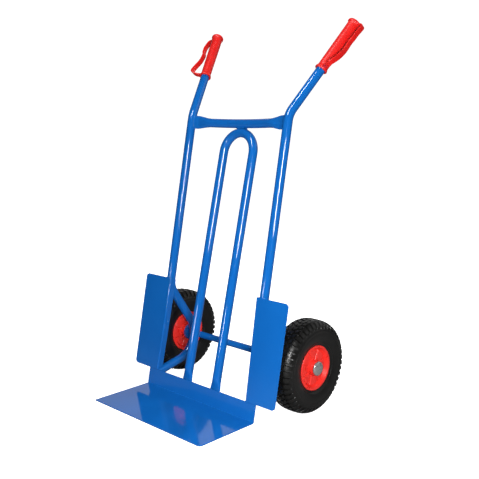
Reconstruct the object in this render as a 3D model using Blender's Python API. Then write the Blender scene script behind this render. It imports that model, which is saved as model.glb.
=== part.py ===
"""Two-wheeled hand truck: welded tube frame, toe plate, wheel guards, pneumatic wheels and guarded grips.

Metres, +Z up. +X is the truck's right, +Y is the rear, where the person stands. The origin is on the
floor, under the centre of the bounding box. Sizes below are first given in the frame of the toe plate's
bend: y = 0 where the lip meets the blade, z = 0 on the floor.
"""

import math

import bmesh
import bpy
from mathutils import Matrix, Vector

GAP = 0.0003  # clearance between pieces that touch

# Frame plane: it passes through the bend of the toe plate and leans back.
LEAN = math.radians(10.9)
TUBE_R = 0.013
TUBE_WALL = 0.0018
TUBE_SIDES = 12
CUT_REACH = 0.03  # how far a cutter runs past the tube that it cuts

# Toe plate
BLADE_LENGTH = 0.193
BLADE_WIDTH = 0.440
PLATE_THICK = 0.0035
LIP_HEIGHT = 0.0515
BEND_R = 0.0055
BLADE_CORNER_R = 0.010
BEND_STEPS = 5

# Uprights
UPRIGHT_X = 0.190
HANDLE_BEND_S = 0.830  # distances marked S run up the frame plane
HANDLE_DIRECTION = Vector((0.2417, 0.5786, 0.7790)).normalized()
HANDLE_TUBE_END = 0.312
HANDLE_BEND_R = 0.070
KNEE = (0.0708, 0.2988)  # (y, z) where the upright turns back to the axle
KNEE_R = 0.060
APEX = (0.2150, 0.0860)  # (y, z) where the two lower lines of the upright would meet
APEX_R = 0.078
FOOT_SLOPE = math.radians(12.8)

# Cross tube and centre loop
CROSS_S = 0.808
CROSS_BOW = 0.024
LOOP_X = 0.058
LOOP_FOOT_S = 0.014
LOOP_LAP = 0.038  # length of each pressed foot that lies flat behind the lip
FLAT_HALF_WIDTH = 0.0196
FLAT_HALF_THICK = 0.0036
FLAT_RUN = 0.020  # length of each pressed end of the cross tube that is flat
FLAT_TAPER = 0.034  # length over which a pressed end becomes round again

# Wheel guard panels
GUARD_THICK = 0.002
GUARD_OUTER_X = 0.288
GUARD_INNER_TOP_X = 0.1735
GUARD_INNER_BOTTOM_X = 0.183
GUARD_TOP_S = 0.333
GUARD_BOTTOM_S = LIP_HEIGHT + 0.0008
GUARD_FLANGE = 0.018
FLANGE_FOOT_RISE = 0.013  # the flange's lower edge is cut aslant, to clear the foot of the upright
FLANGE_TOP_CHAMFER = 0.005
GUARD_CORNER_R = 0.009

# Wheels
WHEEL_R = 0.130
WHEEL_X = 0.259
AXLE_Y = 0.172
AXLE_R = 0.010
AXLE_END_X = 0.3035
HUB_HALF = 0.0375
HUB_CLEARANCE = 0.0005  # between the hub's end and the washer
INNER_WASHER_THICK = 0.003
OUTER_WASHER_THICK = 0.002
BOSS_R = 0.025
WASHER_R = 0.017
BORE_R = 0.01035  # clear of the axle however the facets turn
SLEEVE_R = 0.0160
SLEEVE_BORE_R = 0.0142
BEARING_LENGTH = 0.022
BEARING_INSET = 0.001
RIB_COUNT = 8
INNER_TUBE_WALL = 0.002
VALVE_R = 0.0028
VALVE_CAP_R = 0.0034
VALVE_OFFSET = -0.0085  # where the valve leaves the inner tube, from the wheel's middle
VALVE_END = -0.0275
VALVE_HOLE_END = -0.045
VALVE_HOLE_SPARE = 0.0004  # wider than the valve by this much all round
VALVE_RING_R = 0.034  # distance of the valve's end from the axle
VALVE_DIRECTION = Vector((0, 0, 1))  # up at rest, between two ribs

# Facets round each kind of turned piece
WHEEL_SEGMENTS = 24
RIM_SEGMENTS = 20
BEARING_SEGMENTS = 18
WASHER_SEGMENTS = 16
GRIP_SEGMENTS = 16
AXLE_SEGMENTS = 24
NOTCH_SEGMENTS = 20
VALVE_SEGMENTS = 10

# Grips
GRIP_START = 0.150  # along the handle from its bend
GRIP_LENGTH = 0.168
GRIP_R_LOW = 0.0152
GRIP_R_HIGH = 0.0162
GRIP_RING_R = 0.0190
STRAP_HALF_WIDTH = 0.008
STRAP_HALF_THICK = 0.0025
# Knuckle guard: (distance up the grip, distance from the handle's axis, turn about it in degrees)
STRAP_STATIONS = (
    (0.1600, 0.0135, -10),
    (0.1610, 0.0210, -8),
    (0.1605, 0.0300, -6),
    (0.1555, 0.0345, -4),
    (0.1434, 0.0364, 0),
    (0.1280, 0.0377, 4),
    (0.1133, 0.0378, 4),
    (0.1000, 0.0352, 3),
    (0.0757, 0.0387, 5),
    (0.0537, 0.0440, 12),
    (0.0354, 0.0465, 19),
    (0.0220, 0.0468, 25),
    (0.0143, 0.0435, 28),
    (0.0085, 0.0330, 27),
    (0.0065, 0.0145, 25),
)

BLUE = ((0.012, 0.155, 0.600, 1), 0.30, 0.0)
RED = ((0.730, 0.030, 0.020, 1), 0.45, 0.0)
RIM_RED = ((0.790, 0.055, 0.040, 1), 0.50, 0.0)
RUBBER = ((0.012, 0.012, 0.012, 1), 0.75, 0.0)
ZINC = ((0.420, 0.430, 0.430, 1), 0.35, 1.0)
STEEL = ((0.300, 0.300, 0.300, 1), 0.40, 1.0)


def clear_scene():
    for obj in list(bpy.data.objects):
        bpy.data.objects.remove(obj)


def make_material(name, look):
    colour, roughness, metallic = look
    material = bpy.data.materials.new(name)
    material.use_nodes = True
    shader = material.node_tree.nodes["Principled BSDF"]
    shader.inputs["Base Color"].default_value = colour
    shader.inputs["Roughness"].default_value = roughness
    shader.inputs["Metallic"].default_value = metallic
    return material


def make_object(name, bm, material, parent):
    """A smooth-shaded object from a bmesh, which is freed."""
    bm.normal_update()
    bmesh.ops.recalc_face_normals(bm, faces=bm.faces)
    mesh = bpy.data.meshes.new(name)
    bm.to_mesh(mesh)
    bm.free()
    mesh.shade_smooth()
    mesh.set_sharp_from_angle(angle=math.radians(35))
    mesh.materials.append(material)
    obj = bpy.data.objects.new(name, mesh)
    bpy.context.scene.collection.objects.link(obj)
    obj.parent = parent
    return obj


def make_cutter(name, bm, parent):
    cutter = make_object(name, bm, bpy.data.materials["zinc"], parent)
    cutter.hide_render = True
    cutter.display_type = "WIRE"
    return cutter


def add_boolean(obj, other, operation):
    modifier = obj.modifiers.new(operation.lower(), "BOOLEAN")
    modifier.operation = operation
    modifier.solver = "EXACT"
    modifier.object = other


def on_frame(x, s, behind):
    """The point s up the frame plane and this far behind it."""
    return Vector(
        (
            x,
            s * math.sin(LEAN) + behind * math.cos(LEAN),
            s * math.cos(LEAN) - behind * math.sin(LEAN),
        )
    )


# Takes (x, s, behind) to the same place as on_frame.
FRAME_MATRIX = Matrix(
    (
        (1, 0, 0, 0),
        (0, math.sin(LEAN), math.cos(LEAN), 0),
        (0, math.cos(LEAN), -math.sin(LEAN), 0),
        (0, 0, 0, 1),
    )
)


def arc_points(before, corner, after, radius, steps):
    """The points of an arc that rounds a corner of a path."""
    back = (before - corner).normalized()
    ahead = (after - corner).normalized()
    half = back.angle(ahead) / 2
    start = corner + back * radius / math.tan(half)
    centre = corner + (back + ahead).normalized() * radius / math.sin(half)
    axis = (start - centre).cross(corner - start)
    turn = math.pi - 2 * half
    return [
        centre + Matrix.Rotation(turn * i / steps, 3, axis) @ (start - centre)
        for i in range(steps + 1)
    ]


def bent_path(corners, radii, steps):
    """A path through corners, with each inner corner rounded."""
    points = [corners[0]]
    for i, (radius, count) in enumerate(zip(radii, steps), start=1):
        points += arc_points(corners[i - 1], corners[i], corners[i + 1], radius, count)
    points.append(corners[-1])
    return points


def path_direction(points, i, end_direction):
    """The path's direction at a point; a given end_direction replaces it at both ends."""
    last = len(points) - 1
    if end_direction is not None and i in (0, last):
        return end_direction
    return (points[min(i + 1, last)] - points[max(i - 1, 0)]).normalized()


def add_rings(bm, points, side_hint, half_sizes, sides, end_direction=None):
    """Elliptical rings square to a path, with each one's half width along side_hint and across it."""
    rings = []
    for i, point in enumerate(points):
        along = path_direction(points, i, end_direction)
        across = along.cross(side_hint).normalized()
        side = across.cross(along)
        wide, thick = half_sizes[i]
        ring = []
        for k in range(sides):
            angle = 2 * math.pi * (k + 0.5) / sides
            offset = side * (wide * math.cos(angle)) + across * (thick * math.sin(angle))
            ring.append(bm.verts.new(point + offset))
        rings.append(ring)
    return rings


def skin_rings(bm, rings):
    for first, second in zip(rings, rings[1:]):
        count = len(first)
        for k in range(count):
            bm.faces.new((first[k], first[(k + 1) % count], second[(k + 1) % count], second[k]))


def join_ends(bm, outer, inner):
    count = len(outer)
    for k in range(count):
        bm.faces.new((outer[k], outer[(k + 1) % count], inner[(k + 1) % count], inner[k]))


def hollow_tube(points, side_hint, half_sizes, end_direction=None):
    """An open-ended tube along a path."""
    bm = bmesh.new()
    outer = add_rings(bm, points, side_hint, half_sizes, TUBE_SIDES, end_direction)
    inner_sizes = [(wide - TUBE_WALL, thick - TUBE_WALL) for wide, thick in half_sizes]
    inner = add_rings(bm, points, side_hint, inner_sizes, TUBE_SIDES, end_direction)
    skin_rings(bm, outer)
    skin_rings(bm, inner)
    join_ends(bm, outer[0], inner[0])
    join_ends(bm, outer[-1], inner[-1])
    return bm


def solid_rod(points, side_hint, half_sizes, sides):
    bm = bmesh.new()
    rings = add_rings(bm, points, side_hint, half_sizes, sides)
    skin_rings(bm, rings)
    bm.faces.new(rings[0])
    bm.faces.new(rings[-1])
    return bm


def turned(profile, segments):
    """A solid of revolution about X from a closed profile of (x, radius); a radius of 0 is on the axis."""
    bm = bmesh.new()
    columns = []
    for x, radius in profile:
        if radius == 0:
            columns.append([bm.verts.new((x, 0, 0))] * segments)
            continue
        ring = []
        for k in range(segments):
            angle = 2 * math.pi * k / segments
            ring.append(bm.verts.new((x, radius * math.cos(angle), radius * math.sin(angle))))
        columns.append(ring)
    for i, first in enumerate(columns):
        second = columns[(i + 1) % len(columns)]
        for k in range(segments):
            corners = (first[k], first[(k + 1) % segments], second[(k + 1) % segments], second[k])
            unique = list(dict.fromkeys(corners))
            if len(unique) > 2:
                bm.faces.new(unique)
    return bm


def ring_profile(start, end, inner, outer):
    return ((start, inner), (start, outer), (end, outer), (end, inner))


def mirrored(bm):
    """The same shape on the other side of the truck."""
    bmesh.ops.scale(bm, vec=(-1, 1, 1), verts=bm.verts)
    return bm


def for_side(bm, side):
    return bm if side > 0 else mirrored(bm)


def extrude_outline(outline, low, high):
    """A prism along Z from an outline of (x, y)."""
    bm = bmesh.new()
    bottom = [bm.verts.new((x, y, low)) for x, y in outline]
    face = bm.faces.new(bottom)
    grown = bmesh.ops.extrude_face_region(bm, geom=[face])["geom"]
    lifted = [item for item in grown if isinstance(item, bmesh.types.BMVert)]
    bmesh.ops.translate(bm, vec=(0, 0, high - low), verts=lifted)
    return bm


def rounded_outline(corners, radii, steps):
    """A closed outline of (x, y), with each corner that has a radius rounded."""
    points = []
    count = len(corners)
    for i, radius in enumerate(radii):
        here = Vector((*corners[i], 0))
        if radius == 0:
            points.append((here.x, here.y))
            continue
        before = Vector((*corners[i - 1], 0))
        after = Vector((*corners[(i + 1) % count], 0))
        points += [(p.x, p.y) for p in arc_points(before, here, after, radius, steps)]
    return points


# ---------------------------------------------------------------- frame


def toe_plate(material, root):
    """Blade and lip from one bent sheet."""
    turn = math.pi / 2 - LEAN
    inner_r = BEND_R - PLATE_THICK
    back_y = PLATE_THICK / math.cos(LEAN)  # where the lip's rear plane meets the floor
    bend_y = back_y - BEND_R * math.tan(turn / 2)
    profile = [(-BLADE_LENGTH, 0.0)]
    for i in range(BEND_STEPS + 1):
        angle = turn * i / BEND_STEPS
        profile.append((bend_y + BEND_R * math.sin(angle), BEND_R - BEND_R * math.cos(angle)))
    top = on_frame(0, LIP_HEIGHT, PLATE_THICK)
    profile.append((top.y, top.z))
    top = on_frame(0, LIP_HEIGHT, 0)
    profile.append((top.y, top.z))
    for i in range(BEND_STEPS, -1, -1):
        angle = turn * i / BEND_STEPS
        profile.append((bend_y + inner_r * math.sin(angle), BEND_R - inner_r * math.cos(angle)))
    profile.append((-BLADE_LENGTH, PLATE_THICK))
    bm = extrude_outline(profile, -BLADE_WIDTH / 2, BLADE_WIDTH / 2)
    # The prism stands along Z: its outline's plane turns to YZ and its length to X.
    bm.transform(Matrix(((0, 0, 1, 0), (1, 0, 0, 0), (0, 1, 0, 0), (0, 0, 0, 1))))
    corners = [
        edge
        for edge in bm.edges
        if all(abs(v.co.y + BLADE_LENGTH) < 1e-5 for v in edge.verts)
        and abs(edge.verts[0].co.x - edge.verts[1].co.x) < 1e-5
    ]
    bmesh.ops.bevel(bm, geom=corners, offset=BLADE_CORNER_R, segments=4, profile=0.5, affect="EDGES")
    make_object("toe_plate", bm, material, root)


def upright_path():
    """The right upright's centre line, from the handle's end to its foot behind the lip."""
    handle_bend = on_frame(UPRIGHT_X, HANDLE_BEND_S, TUBE_R)
    handle_end = handle_bend + HANDLE_DIRECTION * HANDLE_TUBE_END
    knee = Vector((UPRIGHT_X, *KNEE))
    apex = Vector((UPRIGHT_X, *APEX))
    foot = Vector((UPRIGHT_X, 0, apex.z - apex.y * math.tan(FOOT_SLOPE)))
    return bent_path(
        [handle_end, handle_bend, knee, apex, foot],
        [HANDLE_BEND_R, KNEE_R, APEX_R],
        [4, 5, 10],
    )


def axle_notch():
    """The saddle that the axle sits in at the upright's rearmost point."""
    near = UPRIGHT_X - CUT_REACH
    far = UPRIGHT_X + CUT_REACH
    bm = turned(((near, 0), (near, BORE_R), (far, BORE_R), (far, 0)), NOTCH_SEGMENTS)
    bmesh.ops.translate(bm, vec=(0, AXLE_Y, WHEEL_R), verts=bm.verts)
    return bm


def foot_trim():
    """Everything in front of the lip's rear face, which cuts the upright's foot flush with it."""
    near = UPRIGHT_X - CUT_REACH
    far = UPRIGHT_X + CUT_REACH
    top = LIP_HEIGHT + CUT_REACH
    outline = ((near, -CUT_REACH), (far, -CUT_REACH), (far, top), (near, top))
    bm = extrude_outline(outline, -CUT_REACH, PLATE_THICK + GAP)
    bm.transform(FRAME_MATRIX)
    return bm


def uprights(material, root):
    for side, name in ((-1, "left"), (1, "right")):
        points = upright_path()
        sizes = [(TUBE_R, TUBE_R)] * len(points)
        tube = hollow_tube(points, Vector((1, 0, 0)), sizes)
        obj = make_object(f"{name}_upright", for_side(tube, side), material, root)
        for label, shape in (("notch", axle_notch()), ("foot", foot_trim())):
            cutter = make_cutter(f"cut_{name}_{label}", for_side(shape, side), root)
            add_boolean(obj, cutter, "DIFFERENCE")


def flattened(distance):
    """Half width and half thickness of a tube this far past the flat run of its pressed end."""
    share = min(max(distance / FLAT_TAPER, 0), 1)
    ease = share * share * (3 - 2 * share)
    return (
        FLAT_HALF_WIDTH + (TUBE_R - FLAT_HALF_WIDTH) * ease,
        FLAT_HALF_THICK + (TUBE_R - FLAT_HALF_THICK) * ease,
    )


def cross_tube(material, root):
    """Bowed tube between the uprights, wide and flat at both ends."""
    end_x = UPRIGHT_X - TUBE_R - GAP
    bow_r = (end_x**2 + CROSS_BOW**2) / (2 * CROSS_BOW)
    pressed = [end_x - inset for inset in (0, 0.010, 0.020, 0.027, 0.033, 0.040, 0.047, 0.054)]
    right = [*pressed, 0.090, 0.045]
    points = []
    sizes = []
    for x in [*(-x for x in right), 0, *reversed(right)]:
        sag = bow_r - math.sqrt(bow_r**2 - x**2)
        points.append(on_frame(x, CROSS_S, TUBE_R + CROSS_BOW - sag))
        sizes.append(flattened(end_x - abs(x) - FLAT_RUN))
    bm = hollow_tube(points, on_frame(0, 1, 0), sizes, end_direction=Vector((1, 0, 0)))
    make_object("cross_tube", bm, material, root)


def centre_loop(material, root):
    """Inverted U whose arch meets the cross tube and whose pressed ends lap behind the lip."""
    arch_top = CROSS_S - 2 * TUBE_R - GAP
    arch_s = arch_top - LOOP_X
    foot_behind = PLATE_THICK + FLAT_HALF_THICK + GAP
    top_behind = TUBE_R + CROSS_BOW

    def place(x, s):
        share = (s - LOOP_FOOT_S) / (arch_top - LOOP_FOOT_S)
        return on_frame(x, s, foot_behind + (top_behind - foot_behind) * share)

    leg = [LOOP_FOOT_S + rise for rise in (0, 0.036, 0.044, 0.051, 0.058, 0.065, 0.072)]
    points = [place(-LOOP_X, s) for s in leg]
    steps = 10
    for i in range(steps + 1):
        angle = math.pi * (1 - i / steps)
        points.append(place(LOOP_X * math.cos(angle), arch_s + LOOP_X * math.sin(angle)))
    points += [place(LOOP_X, s) for s in reversed(leg)]
    sizes = []
    for i in range(len(points)):
        step = min(i, len(points) - 1 - i)
        distance = leg[step] - LOOP_FOOT_S if step < len(leg) else 1
        sizes.append(flattened(distance - LOOP_LAP))
    behind = on_frame(0, 0, 1)
    flat = [(thick, wide) for wide, thick in sizes]
    make_object("centre_loop", hollow_tube(points, behind, flat), material, root)


def guard_panels(material, root):
    """Sheet panels in front of the wheels, each with its inner edge folded back."""
    height = GUARD_TOP_S - GUARD_BOTTOM_S
    outline = rounded_outline(
        [
            (GUARD_INNER_BOTTOM_X, GUARD_BOTTOM_S),
            (GUARD_OUTER_X, GUARD_BOTTOM_S),
            (GUARD_OUTER_X, GUARD_TOP_S),
            (GUARD_INNER_TOP_X, GUARD_TOP_S),
        ],
        [0, GUARD_CORNER_R, GUARD_CORNER_R, 0],
        5,
    )
    flange = (
        (-GUARD_THICK, 0.0),
        (GUARD_FLANGE, FLANGE_FOOT_RISE),
        (GUARD_FLANGE, height - FLANGE_TOP_CHAMFER),
        (GUARD_FLANGE - FLANGE_TOP_CHAMFER, height),
        (-GUARD_THICK, height),
    )
    drift = (GUARD_INNER_TOP_X - GUARD_INNER_BOTTOM_X) / height
    for side, name in ((-1, "left"), (1, "right")):
        panel = extrude_outline(outline, -GUARD_THICK, -GAP / 2)
        fold = bmesh.new()
        near = []
        far = []
        for behind, rise in flange:
            x = GUARD_INNER_BOTTOM_X + drift * rise - GAP / 2
            near.append(fold.verts.new((x, GUARD_BOTTOM_S + rise, behind)))
            far.append(fold.verts.new((x + GUARD_THICK, GUARD_BOTTOM_S + rise, behind)))
        fold.faces.new(near)
        fold.faces.new(far)
        join_ends(fold, near, far)
        panel.transform(FRAME_MATRIX)
        fold.transform(FRAME_MATRIX)
        obj = make_object(f"{name}_wheel_guard", for_side(panel, side), material, root)
        add_boolean(obj, make_cutter(f"add_{name}_flange", for_side(fold, side), root), "UNION")


def axle_and_bosses(blue, root):
    ends = ((-AXLE_END_X, 0), (-AXLE_END_X, AXLE_R), (AXLE_END_X, AXLE_R), (AXLE_END_X, 0))
    obj = make_object("axle", turned(ends, AXLE_SEGMENTS), blue, root)
    obj.location = (0, AXLE_Y, WHEEL_R)
    start = UPRIGHT_X + TUBE_R + GAP
    end = WHEEL_X - HUB_HALF - HUB_CLEARANCE - INNER_WASHER_THICK - GAP
    for side, name in ((-1, "left"), (1, "right")):
        boss = turned(ring_profile(start, end, BORE_R, BOSS_R), RIM_SEGMENTS)
        obj = make_object(f"{name}_axle_boss", for_side(boss, side), blue, root)
        obj.location = (0, AXLE_Y, WHEEL_R)


def washers_and_caps(zinc, root):
    inner_start = WHEEL_X - HUB_HALF - HUB_CLEARANCE
    outer_start = WHEEL_X + HUB_HALF + HUB_CLEARANCE
    inner_ring = ring_profile(inner_start - INNER_WASHER_THICK, inner_start, BORE_R, WASHER_R)
    outer_ring = ring_profile(outer_start, outer_start + OUTER_WASHER_THICK, BORE_R, WASHER_R)
    cap_start = outer_start + OUTER_WASHER_THICK + GAP
    for side, name in ((-1, "left"), (1, "right")):
        inner = turned(inner_ring, WASHER_SEGMENTS)
        outer = turned(outer_ring, WASHER_SEGMENTS)
        cap = turned(cap_profile(cap_start), RIM_SEGMENTS)
        for label, bm in (("inner_washer", inner), ("outer_washer", outer), ("axle_cap", cap)):
            obj = make_object(f"{name}_{label}", for_side(bm, side), zinc, root)
            obj.location = (0, AXLE_Y, WHEEL_R)


def cap_profile(start):
    """Push-on cap, 1 mm thick: a base ring that bites on the axle, a short skirt and a shallow dome."""
    radius = 0.0198
    skirt = 0.0022
    rise = 0.0052
    thick = 0.0010
    steps = 3
    edge = start + skirt
    outside = []
    inside = []
    for i in range(steps):
        up = math.sin(math.pi / 2 * i / steps)
        out = math.cos(math.pi / 2 * i / steps)
        outside.append((edge + rise * up, radius * out))
        inside.append((edge + (rise - thick) * up, (radius - thick) * out))
    outside.append((edge + rise, 0))
    inside.append((edge + rise - thick, 0))
    base = [(start + 0.0008, radius - thick), (start + 0.0008, BORE_R), (start, BORE_R)]
    return [(start, radius), *outside, *reversed(inside), *base]


# ---------------------------------------------------------------- wheels


def both_sides(half):
    """A closed section from the half of it at x >= 0, which starts and ends on x = 0."""
    return list(half) + [(-x, radius) for x, radius in reversed(half) if x > 0]


def tyre_profile():
    """The tyre's section about the wheel's middle, open towards the rim."""
    outside = (
        (0.0000, WHEEL_R),
        (0.0215, 0.1290),
        (0.0365, 0.1195),
        (0.0422, 0.0985),
        (0.0385, 0.0740),
        (0.0328, 0.0655),
        (0.0306, 0.0588),
        (0.0240, 0.0588),
    )
    inside = ((0.0345, 0.0900), (0.0310, 0.1120), (0.0000, 0.1200))
    return both_sides(outside + inside)


def tube_profile(wall):
    """The inner tube's section, taken in by its wall where it is the hollow's."""
    half = ((0.0000, 0.1194), (0.0300, 0.1110), (0.0336, 0.0900), (0.0240, 0.0640), (0.0000, 0.0600))
    middle = 0.090
    scale = 1 - wall / 0.030
    return both_sides([(x * scale, middle + (radius - middle) * scale) for x, radius in half])


def rim_half_profile():
    """One moulded half: tyre seat and lip, dished web, and hub. x runs from the wheel's middle outward."""
    middle = GAP / 2
    return (
        (middle, 0.0475),
        (0.0130, 0.0480),
        (0.0170, 0.0570),
        (0.0312, 0.0580),
        (0.0322, 0.0624),
        (0.0346, 0.0624),
        (0.0346, 0.0560),
        (0.0215, 0.0500),
        (0.0215, 0.0205),
        (HUB_HALF, 0.0195),
        (HUB_HALF, SLEEVE_R + GAP),
        (middle, SLEEVE_R + GAP),
        (middle, 0.0195),
        (0.0180, 0.0205),
        (0.0180, 0.0440),
        (middle, 0.0445),
    )


def ribs():
    """Radial ribs that stand on the outer face of a rim half."""
    bm = bmesh.new()
    base = 0.0200
    half = 0.0012
    faces = ((0, 1, 3, 2), (4, 5, 7, 6), (0, 1, 5, 4), (2, 3, 7, 6), (0, 2, 6, 4), (1, 3, 7, 5))
    for i in range(RIB_COUNT):
        corners = []
        for radius, top in ((0.0190, 0.0300), (0.0530, 0.0270)):
            for across in (-half, half):
                for x in (base, top):
                    corners.append(bm.verts.new((x, radius, across)))
        for face in faces:
            bm.faces.new([corners[k] for k in face])
        turn = Matrix.Rotation(2 * math.pi * (i + 0.5) / RIB_COUNT, 3, "X")
        bmesh.ops.rotate(bm, verts=corners, matrix=turn)
    return bm


def bearing():
    """A caged roller bearing as one body: a sleeve whose outside swells over each roller."""
    outer_r = SLEEVE_BORE_R - GAP
    swell = 0.0009
    chamfer = 0.002
    end = HUB_HALF - BEARING_INSET
    start = end - BEARING_LENGTH
    rows = []
    for x, share in ((start, 0), (start + chamfer, 1), (end - chamfer, 1), (end, 0)):
        radii = [outer_r - swell * (1 - share * (k % 3 != 2)) for k in range(BEARING_SEGMENTS)]
        rows.append((x, radii))
    rows.append((end, [BORE_R] * BEARING_SEGMENTS))
    rows.append((start, [BORE_R] * BEARING_SEGMENTS))
    bm = bmesh.new()
    rings = []
    for x, radii in rows:
        ring = []
        for k, radius in enumerate(radii):
            angle = 2 * math.pi * k / BEARING_SEGMENTS
            ring.append(bm.verts.new((x, radius * math.cos(angle), radius * math.sin(angle))))
        rings.append(ring)
    skin_rings(bm, [*rings, rings[0]])
    return bm


def valve_path(end_x):
    """From inside the inner tube inward through the rim, then bent along the axle towards the frame."""
    top = VALVE_DIRECTION * 0.0640 + Vector((VALVE_OFFSET, 0, 0))
    corner = VALVE_DIRECTION * VALVE_RING_R + Vector((VALVE_OFFSET, 0, 0))
    end = VALVE_DIRECTION * VALVE_RING_R + Vector((end_x, 0, 0))
    return bent_path([top, corner, end], [0.005], [4])


def valve_rod(end_x, radius):
    path = valve_path(end_x)
    return solid_rod(path, Vector((0, 1, 0)), [(radius, radius)] * len(path), VALVE_SEGMENTS)


def valve_cap():
    start = VALVE_END - GAP
    end = start - 0.0062
    bm = turned(((start, 0), (start, VALVE_CAP_R), (end, VALVE_CAP_R), (end, 0)), VALVE_SEGMENTS)
    bmesh.ops.translate(bm, vec=VALVE_DIRECTION * VALVE_RING_R, verts=bm.verts)
    return bm


def wheel(side, name, materials, hub):
    """One pneumatic wheel about its own axis. Shapes are the right wheel's, so -X is towards the frame."""
    rubber, rim_red, steel = materials

    def place(label, bm, material):
        return make_object(f"{name}_{label}", for_side(bm, side), material, hub)

    def cutter(label, bm):
        return make_cutter(f"{name}_{label}", for_side(bm, side), hub)

    place("tyre", turned(tyre_profile(), WHEEL_SEGMENTS), rubber)
    tube = place("inner_tube", turned(tube_profile(0), WHEEL_SEGMENTS), rubber)
    hollow = turned(tube_profile(INNER_TUBE_WALL), WHEEL_SEGMENTS)
    add_boolean(tube, cutter("tube_hollow", hollow), "DIFFERENCE")
    outer_half = place("rim_outer", turned(rim_half_profile(), RIM_SEGMENTS), rim_red)
    add_boolean(outer_half, cutter("outer_ribs", ribs()), "UNION")
    inner_half = place("rim_inner", mirrored(turned(rim_half_profile(), RIM_SEGMENTS)), rim_red)
    add_boolean(inner_half, cutter("inner_ribs", mirrored(ribs())), "UNION")
    sleeve_end = HUB_HALF - 2 * GAP
    sleeve = turned(ring_profile(-sleeve_end, sleeve_end, SLEEVE_BORE_R, SLEEVE_R), RIM_SEGMENTS)
    place("hub_sleeve", sleeve, steel)
    place("outer_bearing", bearing(), steel)
    place("inner_bearing", mirrored(bearing()), steel)
    place("valve_stem", valve_rod(VALVE_END, VALVE_R), steel)
    place("valve_cap", valve_cap(), rubber)
    hole_r = VALVE_R + VALVE_HOLE_SPARE
    for label, obj in (("tube_hole", tube), ("rim_hole", inner_half)):
        add_boolean(obj, cutter(label, valve_rod(VALVE_HOLE_END, hole_r)), "DIFFERENCE")


# ---------------------------------------------------------------- grips


def grip_axes():
    """Where the right grip starts, and the two directions square to the handle that its guard turns in."""
    start = on_frame(UPRIGHT_X, HANDLE_BEND_S, TUBE_R) + HANDLE_DIRECTION * GRIP_START
    out = Vector((1, 0, 0))
    out = (out - HANDLE_DIRECTION * out.dot(HANDLE_DIRECTION)).normalized()
    forward = out.cross(HANDLE_DIRECTION)
    if forward.y > 0:
        forward = -forward
    return start, out, forward


def grip_body():
    """Sleeve closed at the top, with a ring at each end and a bore for the tube."""
    bore_r = TUBE_R + GAP
    bore_end = HANDLE_TUBE_END - GRIP_START + 2 * GAP
    profile = [
        (0, bore_r),
        (0, GRIP_RING_R - 0.0006),
        (0.0008, GRIP_RING_R),
        (0.0045, GRIP_RING_R),
        (0.0075, GRIP_R_LOW),
        (GRIP_LENGTH - 0.0110, GRIP_R_HIGH),
        (GRIP_LENGTH - 0.0075, GRIP_RING_R),
        (GRIP_LENGTH - 0.0025, GRIP_RING_R),
        (GRIP_LENGTH - 0.0005, GRIP_RING_R - 0.0030),
        (GRIP_LENGTH, GRIP_RING_R - 0.0075),
        (GRIP_LENGTH, 0),
        (bore_end, 0),
        (bore_end, bore_r),
    ]
    return turned(profile, GRIP_SEGMENTS)


def grips(material, root):
    start, out, forward = grip_axes()
    turn = Vector((1, 0, 0)).rotation_difference(HANDLE_DIRECTION).to_matrix().to_4x4()
    for side, name in ((-1, "left"), (1, "right")):
        body = grip_body()
        body.transform(Matrix.Translation(start) @ turn)
        obj = make_object(f"{name}_grip", for_side(body, side), material, root)
        points = []
        for along, away, degrees in STRAP_STATIONS:
            angle = math.radians(degrees)
            direction = out * math.cos(angle) + forward * math.sin(angle)
            points.append(start + HANDLE_DIRECTION * along + direction * away)
        strap = strap_body(points, forward)
        add_boolean(obj, make_cutter(f"add_{name}_strap", for_side(strap, side), root), "UNION")


def strap_body(points, across):
    """A flat band along a path, as wide as the strap and square-edged."""
    bm = bmesh.new()
    rings = []
    last = len(points) - 1
    for i, point in enumerate(points):
        along = (points[min(i + 1, last)] - points[max(i - 1, 0)]).normalized()
        wide = (across - along * across.dot(along)).normalized()
        thick = along.cross(wide)
        ring = []
        for a, b in ((-1, -1), (1, -1), (1, 1), (-1, 1)):
            offset = wide * (a * STRAP_HALF_WIDTH) + thick * (b * STRAP_HALF_THICK)
            ring.append(bm.verts.new(point + offset))
        rings.append(ring)
    skin_rings(bm, rings)
    bm.faces.new(rings[0])
    bm.faces.new(rings[-1])
    return bm


# ---------------------------------------------------------------- whole


def stand_on_origin(root):
    """Moves the whole truck so that the origin is under the middle of its box."""
    bpy.context.view_layer.update()
    graph = bpy.context.evaluated_depsgraph_get()
    low = math.inf
    high = -math.inf
    for obj in bpy.context.scene.objects:
        if obj.type != "MESH" or obj.hide_render:
            continue
        evaluated = obj.evaluated_get(graph)
        for corner in evaluated.bound_box:
            y = (evaluated.matrix_world @ Vector(corner)).y
            low = min(low, y)
            high = max(high, y)
    root.location.y -= (low + high) / 2


def main():
    clear_scene()
    blue = make_material("blue_paint", BLUE)
    red = make_material("grip_red", RED)
    rim_red = make_material("rim_red", RIM_RED)
    rubber = make_material("rubber", RUBBER)
    zinc = make_material("zinc", ZINC)
    steel = make_material("steel", STEEL)

    root = bpy.data.objects.new("hand_truck", None)
    bpy.context.scene.collection.objects.link(root)
    toe_plate(blue, root)
    uprights(blue, root)
    cross_tube(blue, root)
    centre_loop(blue, root)
    guard_panels(blue, root)
    axle_and_bosses(blue, root)
    washers_and_caps(zinc, root)
    grips(red, root)
    for side, name in ((-1, "left"), (1, "right")):
        hub = bpy.data.objects.new(f"{name}_wheel_axis", None)
        bpy.context.scene.collection.objects.link(hub)
        hub.parent = root
        hub.location = (side * WHEEL_X, AXLE_Y, WHEEL_R)
        wheel(side, name, (rubber, rim_red, steel), hub)
    stand_on_origin(root)


main()
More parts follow.
